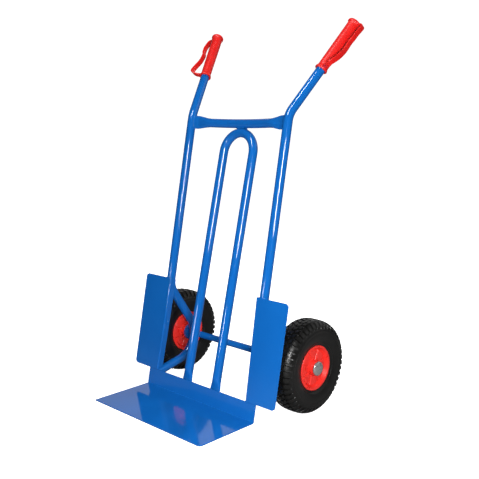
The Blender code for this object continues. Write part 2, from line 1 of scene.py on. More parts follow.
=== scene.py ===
"""Looks of the hand truck: fine tubes, sheets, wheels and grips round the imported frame, and their materials.

Metres. Shapes are first placed in the frame of the toe plate's bend, where y = 0 is the bend line, and
ORIGIN moves them to the CAD's own origin.
"""

import math

import bmesh
import bpy
from mathutils import Matrix, Vector


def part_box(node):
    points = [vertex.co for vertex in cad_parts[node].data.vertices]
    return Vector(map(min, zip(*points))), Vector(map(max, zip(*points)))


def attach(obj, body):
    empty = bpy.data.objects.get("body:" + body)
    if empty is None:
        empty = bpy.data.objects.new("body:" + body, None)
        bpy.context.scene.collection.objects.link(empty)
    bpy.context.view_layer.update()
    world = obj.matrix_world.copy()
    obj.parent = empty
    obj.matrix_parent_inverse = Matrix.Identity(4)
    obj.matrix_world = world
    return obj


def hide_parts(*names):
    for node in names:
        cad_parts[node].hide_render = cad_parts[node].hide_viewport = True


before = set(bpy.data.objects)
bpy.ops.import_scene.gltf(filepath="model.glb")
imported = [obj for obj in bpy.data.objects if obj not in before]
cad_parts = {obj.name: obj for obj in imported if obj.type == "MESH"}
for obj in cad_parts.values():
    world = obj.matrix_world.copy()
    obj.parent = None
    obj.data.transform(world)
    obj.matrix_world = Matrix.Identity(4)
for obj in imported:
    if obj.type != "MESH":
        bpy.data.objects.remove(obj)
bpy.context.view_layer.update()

GAP = 0.0003
LEAN = math.radians(10.9)
X_AXIS = Vector((1, 0, 0))
SIDES = ((-1, "left"), (1, "right"))
SHARP_ANGLE = math.radians(32)

# Tubes
TUBE_R = 0.013
TUBE_WALL = 0.0018
TUBE_SIDES = 40
UPRIGHT_X = 0.190
HANDLE_BEND_S = 0.830
HANDLE_DIRECTION = Vector((0.2417, 0.5786, 0.7790)).normalized()
HANDLE_TUBE_END = 0.312
HANDLE_BEND_R = 0.070
KNEE = (0.0708, 0.2988)
KNEE_R = 0.060
APEX = (0.2150, 0.0860)
APEX_R = 0.078
FOOT_SLOPE = math.radians(12.8)
CROSS_S = 0.808
CROSS_BOW = 0.024
LOOP_X = 0.058
LOOP_FOOT_S = 0.014
LOOP_LAP = 0.038
FLAT_HALF_WIDTH = 0.0196
FLAT_HALF_THICK = 0.0036
FLAT_TAPER = 0.034
# Pressed ends of the cross tube: flat run, taper, and how early the taper sets in
EAR_RUN = 0.013
EAR_TAPER = 0.050
EAR_SWELL = 0.8

# Sheets
BLADE_LENGTH = 0.193
BLADE_WIDTH = 0.440
PLATE_THICK = 0.0035
PLATE_EASE = 0.0007
LIP_HEIGHT = 0.0515
BEND_R = 0.0055
BLADE_CORNER_R = 0.010
GUARD_THICK = 0.002
GUARD_OUTER_X = 0.288
GUARD_INNER_TOP_X = 0.1735
GUARD_INNER_BOTTOM_X = 0.183
GUARD_TOP_S = 0.333
GUARD_BOTTOM_S = LIP_HEIGHT + 0.0008
GUARD_FLANGE = 0.018
GUARD_CORNER_R = 0.009
GUARD_BEND_R = 0.0035
GUARD_EASE = 0.0004
FLANGE_FOOT_RISE = 0.013
FLANGE_TOP_CHAMFER = 0.005

# Wheels and axle
WHEEL_R = 0.130
WHEEL_X = 0.259
AXLE_Y = 0.172
AXLE_R = 0.010
AXLE_END_X = 0.3035
HUB_HALF = 0.0375
HUB_CLEARANCE = 0.0005
INNER_WASHER_THICK = 0.003
OUTER_WASHER_THICK = 0.002
BOSS_R = 0.025
WASHER_R = 0.017
CAP_R = 0.0198
CAP_SKIRT = 0.0022
CAP_RISE = 0.0052
CAP_THICK = 0.0010
BORE_R = 0.01035
SLEEVE_R = 0.0160
RIB_COUNT = 8
VALVE_R = 0.0028
VALVE_CAP_R = 0.0034
VALVE_OFFSET = -0.0085
VALVE_END = -0.0275
VALVE_RING_R = 0.034
VALVE_CAP_LENGTH = 0.0062

# Grips
GRIP_START = 0.150
GRIP_LENGTH = 0.168
GRIP_R_LOW = 0.0152
GRIP_R_HIGH = 0.0162
GRIP_RING_R = 0.0190
STRAP_HALF_WIDTH = 0.008
STRAP_HALF_THICK = 0.0025
STRAP_EDGE_R = 0.0012
# Knuckle guard: (distance up the grip, distance from the handle's axis, turn about it in degrees)
STRAP_STATIONS = (
    (0.1600, 0.0135, -10), (0.1610, 0.0210, -8), (0.1605, 0.0300, -6),
    (0.1555, 0.0345, -4), (0.1434, 0.0364, 0), (0.1280, 0.0377, 4),
    (0.1133, 0.0378, 4), (0.1000, 0.0352, 3), (0.0757, 0.0387, 5),
    (0.0537, 0.0440, 12), (0.0354, 0.0465, 19), (0.0220, 0.0468, 25),
    (0.0143, 0.0435, 28), (0.0085, 0.0330, 27), (0.0065, 0.0145, 25),
)

# Welds
WELD_STEP = 0.0006
WELD_RIPPLE = 0.0030
WELD_SIDES = 12

axle_low, axle_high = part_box("axle")
ORIGIN = Vector((0, (axle_low.y + axle_high.y) / 2 - AXLE_Y, 0))
AXLE_CENTRE = Vector((0, AXLE_Y, WHEEL_R))


# --------- materials


def map_range(tree, value, low, high, first, second):
    """Numbers between first and second as the value goes from low to high."""
    node = tree.nodes.new("ShaderNodeMapRange")
    for socket, number in zip(node.inputs[1:5], (low, high, first, second)):
        socket.default_value = number
    tree.links.new(value, node.inputs["Value"])
    return node.outputs["Result"]


class Shader:
    """A Principled material under construction, with short calls for the nodes used here."""

    def __init__(self, name, **values):
        self.material = bpy.data.materials.new(name)
        self.material.use_nodes = True
        self.tree = self.material.node_tree
        self.principled = self.tree.nodes["Principled BSDF"]
        for socket, value in values.items():
            self.principled.inputs[socket.replace("_", " ")].default_value = value
        self.coords = self.tree.nodes.new("ShaderNodeTexCoord").outputs["Object"]

    def finish(self, colour, roughness, normal):
        """The material, with these outputs in its sockets."""
        for output, socket in ((colour, "Base Color"), (roughness, "Roughness"), (normal, "Normal")):
            self.tree.links.new(output, self.principled.inputs[socket])
        return self.material

    def noise(self, scale, detail=2.0, roughness=0.5, stretch=None):
        node = self.tree.nodes.new("ShaderNodeTexNoise")
        node.inputs["Scale"].default_value = scale
        node.inputs["Detail"].default_value = detail
        node.inputs["Roughness"].default_value = roughness
        coords = self.coords
        if stretch:
            mapping = self.tree.nodes.new("ShaderNodeMapping")
            mapping.inputs["Scale"].default_value = stretch
            self.tree.links.new(coords, mapping.inputs["Vector"])
            coords = mapping.outputs["Vector"]
        self.tree.links.new(coords, node.inputs["Vector"])
        return node.outputs["Fac"]

    def cells(self, scale):
        node = self.tree.nodes.new("ShaderNodeTexVoronoi")
        node.inputs["Scale"].default_value = scale
        self.tree.links.new(self.coords, node.inputs["Vector"])
        return node.outputs["Distance"]

    def ramp(self, value, low, high, first, second):
        """Colours between first and second as the value goes from low to high."""
        node = self.tree.nodes.new("ShaderNodeValToRGB")
        node.color_ramp.elements[0].position = low
        node.color_ramp.elements[0].color = first
        node.color_ramp.elements[1].position = high
        node.color_ramp.elements[1].color = second
        self.tree.links.new(value, node.inputs["Fac"])
        return node.outputs["Color"]

    def spread(self, value, low, high, first, second):
        return map_range(self.tree, value, low, high, first, second)

    def blend(self, share, output, colour):
        """The output with this share of a plain colour mixed in."""
        node = self.tree.nodes.new("ShaderNodeMix")
        node.data_type = "RGBA"
        self.tree.links.new(share, node.inputs["Factor"])
        self.tree.links.new(output, node.inputs[6])
        node.inputs[7].default_value = colour
        return node.outputs[2]

    def bump(self, value, distance, strength, under=None):
        node = self.tree.nodes.new("ShaderNodeBump")
        node.inputs["Strength"].default_value = strength
        node.inputs["Distance"].default_value = distance
        self.tree.links.new(value, node.inputs["Height"])
        if under:
            self.tree.links.new(under, node.inputs["Normal"])
        return node.outputs["Normal"]


def blue_coat():
    """Glossy powder coat: even colour, very faint orange peel and a little haze."""
    s = Shader("blue_coat", Specular_IOR_Level=0.5)
    shade = s.noise(7.0, 3.0)
    fine = s.noise(420.0, 2.0)
    colour = s.ramp(shade, 0.30, 0.70, (0.0040, 0.106, 0.400, 1), (0.0052, 0.122, 0.448, 1))
    return s.finish(
        s.blend(s.spread(fine, 0.35, 0.75, 0.0, 0.22), colour, (0.0032, 0.090, 0.345, 1)),
        s.spread(shade, 0.3, 0.7, 0.05, 0.09),
        s.bump(s.noise(120.0, 1.0), 0.00003, 0.05),
    )


def grip_vinyl():
    """Soft red vinyl with a fine pebbled skin, its colour darkened in the pebbles' pits as painted shade."""
    s = Shader("grip_vinyl", Specular_IOR_Level=0.4)
    shade = s.noise(30.0, 3.0)
    pebble = s.cells(500.0)
    colour = s.ramp(shade, 0.3, 0.7, (0.640, 0.009, 0.008, 1), (0.760, 0.015, 0.011, 1))
    return s.finish(
        # Painted shade: a darker red mixed in where the pebble cells dip, in the pits of the bump.
        s.blend(s.spread(pebble, 0.15, 0.75, 0.22, 0.0), colour, (0.560, 0.008, 0.007, 1)),
        s.spread(shade, 0.3, 0.7, 0.34, 0.46),
        s.bump(pebble, 0.00005, 0.08),
    )


def rim_plastic():
    """Moulded red plastic with flow marks and a satin skin."""
    s = Shader("rim_plastic", Specular_IOR_Level=0.5)
    flow = s.noise(26.0, 4.0, 0.6, (1.0, 2.0, 0.6))
    fine = s.noise(520.0, 2.0)
    colour = s.ramp(flow, 0.28, 0.72, (0.740, 0.022, 0.015, 1), (0.880, 0.038, 0.028, 1))
    return s.finish(
        s.blend(s.spread(fine, 0.4, 0.8, 0.0, 0.25), colour, (0.620, 0.014, 0.010, 1)),
        s.spread(flow, 0.3, 0.7, 0.24, 0.38),
        s.bump(fine, 0.00006, 0.5),
    )


def tyre_rubber():
    """Black rubber, a little greyer where the mould left it dusty, with a grained skin."""
    s = Shader("tyre_rubber", Specular_IOR_Level=0.5)
    dust = s.noise(24.0, 5.0, 0.65)
    grain = s.noise(700.0, 3.0)
    colour = s.ramp(dust, 0.35, 0.72, (0.0024, 0.0024, 0.0023, 1), (0.0050, 0.0049, 0.0045, 1))
    return s.finish(
        s.blend(s.spread(grain, 0.5, 0.8, 0.0, 0.5), colour, (0.0110, 0.0105, 0.0095, 1)),
        s.spread(dust, 0.35, 0.72, 0.28, 0.46),
        s.bump(grain, 0.00012, 0.6, s.bump(dust, 0.0006, 0.2)),
    )


def plated(name, dark, light, roughness, metallic):
    """Metal with a faint patchy plating and fine brushed lines."""
    s = Shader(name, Metallic=metallic)
    patch = s.noise(160.0, 4.0, 0.6)
    lines = s.noise(900.0, 2.0, 0.5, (1.0, 1.0, 0.08))
    return s.finish(
        s.ramp(patch, 0.3, 0.7, dark, light),
        s.spread(patch, 0.3, 0.7, roughness, roughness + 0.12),
        s.bump(lines, 0.00003, 0.5),
    )


def dull_black(name, colour, scale):
    """Moulded black part with a slightly mottled skin."""
    s = Shader(name, Specular_IOR_Level=0.3)
    mottle = s.noise(scale, 4.0, 0.6)
    paler = tuple(min(1.0, c * 1.9) for c in colour[:3]) + (1,)
    return s.finish(
        s.ramp(mottle, 0.3, 0.7, colour, paler),
        s.spread(mottle, 0.3, 0.7, 0.55, 0.75),
        s.bump(mottle, 0.0001, 0.5),
    )


MATERIALS = {
    "blue_coat": blue_coat(),
    "grip_red": grip_vinyl(),
    "rim_red": rim_plastic(),
    "tyre_black": tyre_rubber(),
    "tube_black": dull_black("tube_butyl", (0.010, 0.010, 0.011, 1), 90.0),
    "zinc": plated("zinc_plate", (0.400, 0.405, 0.402, 1), (0.520, 0.525, 0.520, 1), 0.24, 0.72),
    "bright_steel": plated("bright_steel", (0.300, 0.300, 0.300, 1), (0.420, 0.415, 0.405, 1), 0.26, 1.0),
    "cap_black": dull_black("cap_plastic", (0.012, 0.012, 0.012, 1), 260.0),
}


# --------- building


def add_object(name, data):
    obj = bpy.data.objects.new(name, data)
    bpy.context.scene.collection.objects.link(obj)
    return obj


def loose_object(name, bm, at=ORIGIN):
    """An object from a bmesh, which is freed."""
    bm.normal_update()
    bmesh.ops.recalc_face_normals(bm, faces=bm.faces)
    mesh = bpy.data.meshes.new(name)
    bm.to_mesh(mesh)
    bm.free()
    obj = add_object(name, mesh)
    obj.location = at
    return obj


def make_piece(name, bm, slot, body, replaces=(), at=ORIGIN):
    """A smooth-shaded piece that rides on a body and stands for CAD nodes."""
    obj = loose_object(name, bm, at)
    finish_mesh(obj.data)
    obj.data.materials.append(MATERIALS[slot])
    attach(obj, body)
    if replaces:
        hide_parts(*replaces)
    return obj


def finish_mesh(mesh):
    mesh.shade_smooth()
    mesh.set_sharp_from_angle(angle=SHARP_ANGLE)


def bake(obj):
    """Makes what the modifiers give the piece's own mesh."""
    bpy.context.view_layer.update()
    graph = bpy.context.evaluated_depsgraph_get()
    mesh = bpy.data.meshes.new_from_object(obj.evaluated_get(graph))
    obj.modifiers.clear()
    obj.data = mesh


def apply_modifiers(obj):
    bake(obj)
    finish_mesh(obj.data)


def cut(obj, shapes):
    """Cuts each closed shape out of the piece."""
    cutters = [loose_object("cutter", shape) for shape in shapes]
    for cutter in cutters:
        modifier = obj.modifiers.new("cut", "BOOLEAN")
        modifier.solver = "EXACT"
        modifier.object = cutter
    apply_modifiers(obj)
    for cutter in cutters:
        bpy.data.objects.remove(cutter)


def round_edges(obj, width, angle=30):
    """Rounds the sharp edges, then lets the large flat faces set the shading beside them."""
    modifier = obj.modifiers.new("round", "BEVEL")
    modifier.width = width
    modifier.segments = 2
    modifier.limit_method = "ANGLE"
    modifier.angle_limit = math.radians(angle)
    apply_modifiers(obj)
    modifier = obj.modifiers.new("flats", "WEIGHTED_NORMAL")
    modifier.weight = 90
    modifier.keep_sharp = True
    bake(obj)


def on_frame(x, s, behind):
    """The point s up the frame plane and this far behind it."""
    return Vector(
        (
            x,
            s * math.sin(LEAN) + behind * math.cos(LEAN),
            s * math.cos(LEAN) - behind * math.sin(LEAN),
        )
    )


# Takes (x, s, behind) to the same place as on_frame.
FRAME_MATRIX = Matrix(
    (
        (1, 0, 0, 0),
        (0, math.sin(LEAN), math.cos(LEAN), 0),
        (0, math.cos(LEAN), -math.sin(LEAN), 0),
        (0, 0, 0, 1),
    )
)


def arc_points(before, corner, after, radius, steps):
    """The points of an arc that rounds a corner of a path."""
    back = (before - corner).normalized()
    ahead = (after - corner).normalized()
    half = back.angle(ahead) / 2
    start = corner + back * radius / math.tan(half)
    centre = corner + (back + ahead).normalized() * radius / math.sin(half)
    axis = (start - centre).cross(corner - start)
    turn = math.pi - 2 * half
    return [
        centre + Matrix.Rotation(turn * i / steps, 3, axis) @ (start - centre)
        for i in range(steps + 1)
    ]


def bent_path(corners, radii, steps):
    """A path through corners, with each inner corner rounded."""
    points = [corners[0]]
    for i, (radius, count) in enumerate(zip(radii, steps), start=1):
        points += arc_points(corners[i - 1], corners[i], corners[i + 1], radius, count)
    points.append(corners[-1])
    return points


def spline(points, steps):
    """Catmull-Rom points through the given ones, which may be numbers or vectors."""
    result = []
    last = len(points) - 1
    for i in range(last):
        a = points[max(i - 1, 0)]
        b = points[i]
        c = points[i + 1]
        d = points[min(i + 2, last)]
        for k in range(steps):
            t = k / steps
            result.append(
                b + (c - a) * (t / 2)
                + (a * 2 - b * 5 + c * 4 - d) * (t * t / 2)
                + (b * 3 - a - c * 3 + d) * (t**3 / 2)
            )
    result.append(points[last])
    return result


def path_direction(points, i, end_direction, closed=False):
    last = len(points) - 1
    if closed:
        return (points[(i + 1) % len(points)] - points[i - 1]).normalized()
    if end_direction is not None and i in (0, last):
        return end_direction
    return (points[min(i + 1, last)] - points[max(i - 1, 0)]).normalized()


def add_rings(bm, points, side_hint, half_sizes, sides, end_direction=None, closed=False):
    """Elliptical rings square to a path, with each one's half width along side_hint and across it."""
    rings = []
    for i, point in enumerate(points):
        along = path_direction(points, i, end_direction, closed)
        across = along.cross(side_hint).normalized()
        side = across.cross(along)
        wide, thick = half_sizes[i]
        ring = []
        for k in range(sides):
            angle = 2 * math.pi * (k + 0.5) / sides
            offset = side * (wide * math.cos(angle)) + across * (thick * math.sin(angle))
            ring.append(bm.verts.new(point + offset))
        rings.append(ring)
    return rings


def skin_rings(bm, rings):
    for first, second in zip(rings, rings[1:]):
        join_ends(bm, first, second)


def closed_skin(bm, rings):
    """Skins the rings and closes both ends."""
    skin_rings(bm, rings)
    bm.faces.new(rings[0])
    bm.faces.new(rings[-1])


def join_ends(bm, first, second):
    count = len(first)
    for k in range(count):
        bm.faces.new((first[k], first[(k + 1) % count], second[(k + 1) % count], second[k]))


def hollow_tube(points, side_hint, half_sizes, end_direction=None):
    """An open-ended tube along a path."""
    bm = bmesh.new()
    outer = add_rings(bm, points, side_hint, half_sizes, TUBE_SIDES, end_direction)
    inner_sizes = [(wide - TUBE_WALL, thick - TUBE_WALL) for wide, thick in half_sizes]
    inner = add_rings(bm, points, side_hint, inner_sizes, TUBE_SIDES, end_direction)
    skin_rings(bm, outer)
    skin_rings(bm, inner)
    join_ends(bm, outer[0], inner[0])
    join_ends(bm, outer[-1], inner[-1])
    return bm


def solid_rod(points, side_hint, half_sizes, sides):
    bm = bmesh.new()
    rings = add_rings(bm, points, side_hint, half_sizes, sides)
    closed_skin(bm, rings)
    return bm


def turned(profile, segments):
    """A solid of revolution about X from a closed profile of (x, radius); a radius of 0 is on the axis."""
    bm = bmesh.new()
    columns = []
    for x, radius in profile:
        if radius == 0:
            columns.append([bm.verts.new((x, 0, 0))] * segments)
            continue
        ring = []
        for k in range(segments):
            angle = 2 * math.pi * k / segments
            ring.append(bm.verts.new((x, radius * math.cos(angle), radius * math.sin(angle))))
        columns.append(ring)
    for i, first in enumerate(columns):
        second = columns[(i + 1) % len(columns)]
        for k in range(segments):
            corners = (first[k], first[(k + 1) % segments], second[(k + 1) % segments], second[k])
            unique = list(dict.fromkeys(corners))
            if len(unique) > 2:
                bm.faces.new(unique)
    return bm


def rounded_outline(corners, radii, steps):
    """A closed outline of (x, y), with each corner that has a radius rounded."""
    points = []
    count = len(corners)
    for i, radius in enumerate(radii):
        here = Vector((*corners[i], 0))
        if radius == 0:
            points.append((here.x, here.y))
            continue
        before = Vector((*corners[i - 1], 0))
        after = Vector((*corners[(i + 1) % count], 0))
        points += [(p.x, p.y) for p in arc_points(before, here, after, radius, steps)]
    return points


def turned_rounded(corners, radii, segments, steps=3):
    return turned(rounded_outline(corners, radii, steps), segments)


def mirrored(bm):
    bmesh.ops.scale(bm, vec=(-1, 1, 1), verts=bm.verts)
    return bm


def for_side(bm, side):
    return bm if side > 0 else mirrored(bm)


def extrude_outline(outline, low, high):
    """A prism along Z from an outline of (x, y)."""
    bm = bmesh.new()
    face = bm.faces.new([bm.verts.new((x, y, low)) for x, y in outline])
    grown = bmesh.ops.extrude_face_region(bm, geom=[face])["geom"]
    lifted = [item for item in grown if isinstance(item, bmesh.types.BMVert)]
    bmesh.ops.translate(bm, vec=(0, 0, high - low), verts=lifted)
    return bm


# --------- frame


def toe_plate():
    """Blade and lip from one bent sheet, with eased edges."""
    turn = math.pi / 2 - LEAN
    inner_r = BEND_R - PLATE_THICK
    back_y = PLATE_THICK / math.cos(LEAN)
    bend_y = back_y - BEND_R * math.tan(turn / 2)
    steps = 14
    angles = [turn * i / steps for i in range(steps + 1)]
    profile = [(-BLADE_LENGTH, 0.0)]
    profile += [(bend_y + BEND_R * math.sin(a), BEND_R - BEND_R * math.cos(a)) for a in angles]
    for behind in (PLATE_THICK, 0):
        top = on_frame(0, LIP_HEIGHT, behind)
        profile.append((top.y, top.z))
    profile += [(bend_y + inner_r * math.sin(a), BEND_R - inner_r * math.cos(a)) for a in reversed(angles)]
    profile.append((-BLADE_LENGTH, PLATE_THICK))
    bm = extrude_outline(profile, -BLADE_WIDTH / 2, BLADE_WIDTH / 2)
    bm.transform(Matrix(((0, 0, 1, 0), (1, 0, 0, 0), (0, 1, 0, 0), (0, 0, 0, 1))))
    corners = [
        edge
        for edge in bm.edges
        if all(abs(v.co.y + BLADE_LENGTH) < 1e-5 for v in edge.verts)
        and abs(edge.verts[0].co.x - edge.verts[1].co.x) < 1e-5
    ]
    bmesh.ops.bevel(bm, geom=corners, offset=BLADE_CORNER_R, segments=8, profile=0.5, affect="EDGES")
    obj = make_piece("toe_plate_sheet", bm, "blue_coat", "frame", ["toe_plate"])
    round_edges(obj, PLATE_EASE)


def upright_path():
    """The right upright's centre line, from the handle's end to its foot behind the lip."""
    handle_bend = on_frame(UPRIGHT_X, HANDLE_BEND_S, TUBE_R)
    handle_end = handle_bend + HANDLE_DIRECTION * HANDLE_TUBE_END
    knee = Vector((UPRIGHT_X, *KNEE))
    apex = Vector((UPRIGHT_X, *APEX))
    foot = Vector((UPRIGHT_X, 0, apex.z - apex.y * math.tan(FOOT_SLOPE)))
    return bent_path(
        [handle_end, handle_bend, knee, apex, foot],
        [HANDLE_BEND_R, KNEE_R, APEX_R],
        [12, 12, 28],
    )


def uprights():
    reach = 0.03
    for side, name in SIDES:
        points = upright_path()
        tube = hollow_tube(points, X_AXIS, [(TUBE_R, TUBE_R)] * len(points))
        tube = for_side(tube, side)
        obj = make_piece(f"{name}_upright_tube", tube, "blue_coat", "frame", [f"{name}_upright"])
        near = UPRIGHT_X - reach
        far = UPRIGHT_X + reach
        notch = turned(((near, 0), (near, BORE_R), (far, BORE_R), (far, 0)), 48)
        bmesh.ops.translate(notch, vec=AXLE_CENTRE, verts=notch.verts)
        outline = ((near, -reach), (far, -reach), (far, LIP_HEIGHT + reach), (near, LIP_HEIGHT + reach))
        trim = extrude_outline(outline, -reach, PLATE_THICK + GAP)
        trim.transform(FRAME_MATRIX)
        cut(obj, [for_side(notch, side), for_side(trim, side)])


def flattened(distance, taper, swell=1.0):
    """Half width and half thickness this far past a pressed end's flat run; a swell under 1 starts faster."""
    share = min(max(distance / taper, 0), 1) ** swell
    ease = share * share * (3 - 2 * share)
    return (
        FLAT_HALF_WIDTH + (TUBE_R - FLAT_HALF_WIDTH) * ease,
        FLAT_HALF_THICK + (TUBE_R - FLAT_HALF_THICK) * ease,
    )


def cross_tube():
    """Bowed tube between the uprights, wide and flat at both ends."""
    end_x = UPRIGHT_X - TUBE_R - GAP
    bow_r = (end_x**2 + CROSS_BOW**2) / (2 * CROSS_BOW)
    near_end = [i * 0.0030 for i in range(26)]
    middle = [0.084 + i * 0.012 for i in range(8)]
    xs = [-(end_x - d) for d in near_end + middle] + [0.0]
    xs += [-x for x in reversed(xs[:-1])]
    points = []
    sizes = []
    for x in xs:
        sag = bow_r - math.sqrt(bow_r**2 - x**2)
        points.append(on_frame(x, CROSS_S, TUBE_R + CROSS_BOW - sag))
        sizes.append(flattened(end_x - abs(x) - EAR_RUN, EAR_TAPER, EAR_SWELL))
    bm = hollow_tube(points, on_frame(0, 1, 0), sizes, end_direction=X_AXIS)
    make_piece("cross_tube_bar", bm, "blue_coat", "frame", ["cross_tube"])


def loop_place(x, s):
    arch_top = CROSS_S - 2 * TUBE_R - GAP
    foot_behind = PLATE_THICK + FLAT_HALF_THICK + GAP
    top_behind = TUBE_R + CROSS_BOW
    share = (s - LOOP_FOOT_S) / (arch_top - LOOP_FOOT_S)
    return on_frame(x, s, foot_behind + (top_behind - foot_behind) * share)


def centre_loop():
    """Inverted U whose arch meets the cross tube and whose pressed ends lap behind the lip."""
    arch_s = CROSS_S - 2 * TUBE_R - GAP - LOOP_X
    rises = [0, 0.012, 0.024, 0.034] + [0.038 + i * 0.0025 for i in range(15)] + [0.2, 0.4]
    leg = [LOOP_FOOT_S + rise for rise in rises]
    points = [loop_place(-LOOP_X, s) for s in leg]
    steps = 40
    for i in range(steps + 1):
        angle = math.pi * (1 - i / steps)
        points.append(loop_place(LOOP_X * math.cos(angle), arch_s + LOOP_X * math.sin(angle)))
    points += [loop_place(LOOP_X, s) for s in reversed(leg)]
    sizes = []
    for i in range(len(points)):
        step = min(i, len(points) - 1 - i)
        distance = rises[step] if step < len(rises) else 1
        wide, thick = flattened(distance - LOOP_LAP, FLAT_TAPER)
        sizes.append((thick, wide))
    bm = hollow_tube(points, on_frame(0, 0, 1), sizes)
    make_piece("centre_loop_tube", bm, "blue_coat", "frame", ["centre_loop"])


def guard_rows():
    """Heights up a guard, with its inner and outer x and the depth of its flange there."""
    height = GUARD_TOP_S - GUARD_BOTTOM_S
    front = -GUARD_THICK
    drift = (GUARD_INNER_TOP_X - GUARD_INNER_BOTTOM_X) / height
    least_depth = GUARD_BEND_R + front + 0.0002
    count = 60
    rows = []
    for i in range(count + 1):
        rise = height * i / count
        top_room = height - rise
        corner = max(GUARD_CORNER_R - min(rise, top_room), 0)
        outer_x = GUARD_OUTER_X - (GUARD_CORNER_R - math.sqrt(GUARD_CORNER_R**2 - corner**2))
        depth = GUARD_FLANGE
        low_cut = (rise + 0.0001) / FLANGE_FOOT_RISE
        if low_cut < 1:
            depth = front + (GUARD_FLANGE - front) * low_cut
        if top_room < FLANGE_TOP_CHAMFER:
            depth = GUARD_FLANGE - FLANGE_TOP_CHAMFER + top_room
        inner_x = GUARD_INNER_BOTTOM_X + drift * rise
        rows.append((GUARD_BOTTOM_S + rise, inner_x, outer_x, max(depth, least_depth)))
    return rows


def fold(inner_x, radius, steps=8):
    """Quarter arc of a guard's fold, from its front face to its flange: (x, behind)."""
    middle_x = inner_x + GUARD_BEND_R
    middle = GUARD_BEND_R - GUARD_THICK
    angles = [math.pi / 2 * k / steps for k in range(steps + 1)]
    return [(middle_x - radius * math.sin(a), middle - radius * math.cos(a)) for a in angles]


def guard_panels():
    """Sheet panels in front of the wheels, each with its inner edge folded back over a small radius."""
    back = -GAP / 2
    for side, name in SIDES:
        bm = bmesh.new()
        rings = []
        for s, inner_x, outer_x, depth in guard_rows():
            section = [
                (outer_x, -GUARD_THICK),
                *fold(inner_x, GUARD_BEND_R),
                (inner_x, depth),
                (inner_x + GUARD_THICK, depth),
                *reversed(fold(inner_x, GUARD_BEND_R - GUARD_THICK)),
                (outer_x, back),
            ]
            rings.append([bm.verts.new((x, s, behind)) for x, behind in section])
        closed_skin(bm, rings)
        bm.transform(FRAME_MATRIX)
        panel = for_side(bm, side)
        obj = make_piece(f"{name}_guard_panel", panel, "blue_coat", "frame", [f"{name}_wheel_guard"])
        round_edges(obj, GUARD_EASE, angle=50)


def axle_parts():
    hub_in = WHEEL_X - HUB_HALF - HUB_CLEARANCE
    hub_out = WHEEL_X + HUB_HALF + HUB_CLEARANCE
    at = ORIGIN + AXLE_CENTRE
    edge = 0.0008
    corners = ((-AXLE_END_X, 0), (-AXLE_END_X, AXLE_R), (AXLE_END_X, AXLE_R), (AXLE_END_X, 0))
    rod = turned_rounded(corners, (0, edge, edge, 0), 64)
    make_piece("axle_rod", rod, "blue_coat", "frame", ["axle"], at)

    def ring(start, end, outer, ease):
        corners = ((start, BORE_R), (start, outer), (end, outer), (end, BORE_R))
        return turned_rounded(corners, (0.0002, ease, ease, 0.0002), 72)

    inner_face = hub_in - INNER_WASHER_THICK
    outer_face = hub_out + OUTER_WASHER_THICK
    boss_start = UPRIGHT_X + TUBE_R + GAP
    rings = (
        ("axle_boss", "axle_collar", "blue_coat", boss_start, inner_face - GAP, BOSS_R, 0.0012),
        ("inner_washer", "inner_washer_ring", "zinc", inner_face, hub_in, WASHER_R, 0.0005),
        ("outer_washer", "outer_washer_ring", "zinc", hub_out, outer_face, WASHER_R, 0.0004),
    )
    for side, name in SIDES:
        for node, label, slot, start, end, outer, ease in rings:
            shape = for_side(ring(start, end, outer, ease), side)
            make_piece(f"{name}_{label}", shape, slot, "frame", [f"{name}_{node}"], at)
        cap = for_side(turned(cap_profile(outer_face + GAP), 96), side)
        make_piece(f"{name}_axle_dome", cap, "zinc", "frame", [f"{name}_axle_cap"], at)


def cap_profile(start):
    """Push-on cap: a base ring that bites on the axle, a short skirt with a rolled edge, a shallow dome."""
    roll = 0.0008
    dome_r = CAP_R - 0.0004
    edge = start + CAP_SKIRT
    steps = 14
    outside = [(start + 0.0002, CAP_R - 0.0005), (start + roll, CAP_R), (start + 0.0014, dome_r)]
    inside = []
    for i in range(steps):
        up = math.sin(math.pi / 2 * i / steps)
        out = math.cos(math.pi / 2 * i / steps) ** 0.8
        outside.append((edge + CAP_RISE * up, dome_r * out))
        inside.append((edge + (CAP_RISE - CAP_THICK) * up, (dome_r - CAP_THICK) * out))
    outside.append((edge + CAP_RISE, 0))
    inside.append((edge + CAP_RISE - CAP_THICK, 0))
    base = [(start + roll, CAP_R - CAP_THICK), (start + roll, BORE_R), (start, BORE_R)]
    return [*outside, *reversed(inside), *base]


# --------- welds


def weld_bead(points, side_hint, radius, closed=False):
    """A rippled bead along a path, thinner at its ends."""
    dense = []
    count = len(points) if closed else len(points) - 1
    for i in range(count):
        a = points[i]
        b = points[(i + 1) % len(points)]
        steps = max(int((b - a).length / WELD_STEP), 1)
        dense += [a.lerp(b, k / steps) for k in range(steps)]
    if not closed:
        dense.append(points[-1])
    bm = bmesh.new()
    sizes = []
    travelled = 0.0
    for i in range(len(dense)):
        if i:
            travelled += (dense[i] - dense[i - 1]).length
        ripple = 0.80 + 0.20 * abs(math.sin(math.pi * travelled / WELD_RIPPLE))
        ends = 1.0 if closed else min(1.0, 0.35 + min(i, len(dense) - 1 - i) / 6)
        sizes.append((radius * ripple * ends,) * 2)
    rings = add_rings(bm, dense, side_hint, sizes, WELD_SIDES, closed=closed)
    if closed:
        skin_rings(bm, rings)
        join_ends(bm, rings[-1], rings[0])
    else:
        closed_skin(bm, rings)
    return bm


def join_into(target, source):
    """Adds one bmesh to another and frees it."""
    mesh = bpy.data.meshes.new("joined")
    source.to_mesh(mesh)
    source.free()
    target.from_mesh(mesh)
    bpy.data.meshes.remove(mesh)


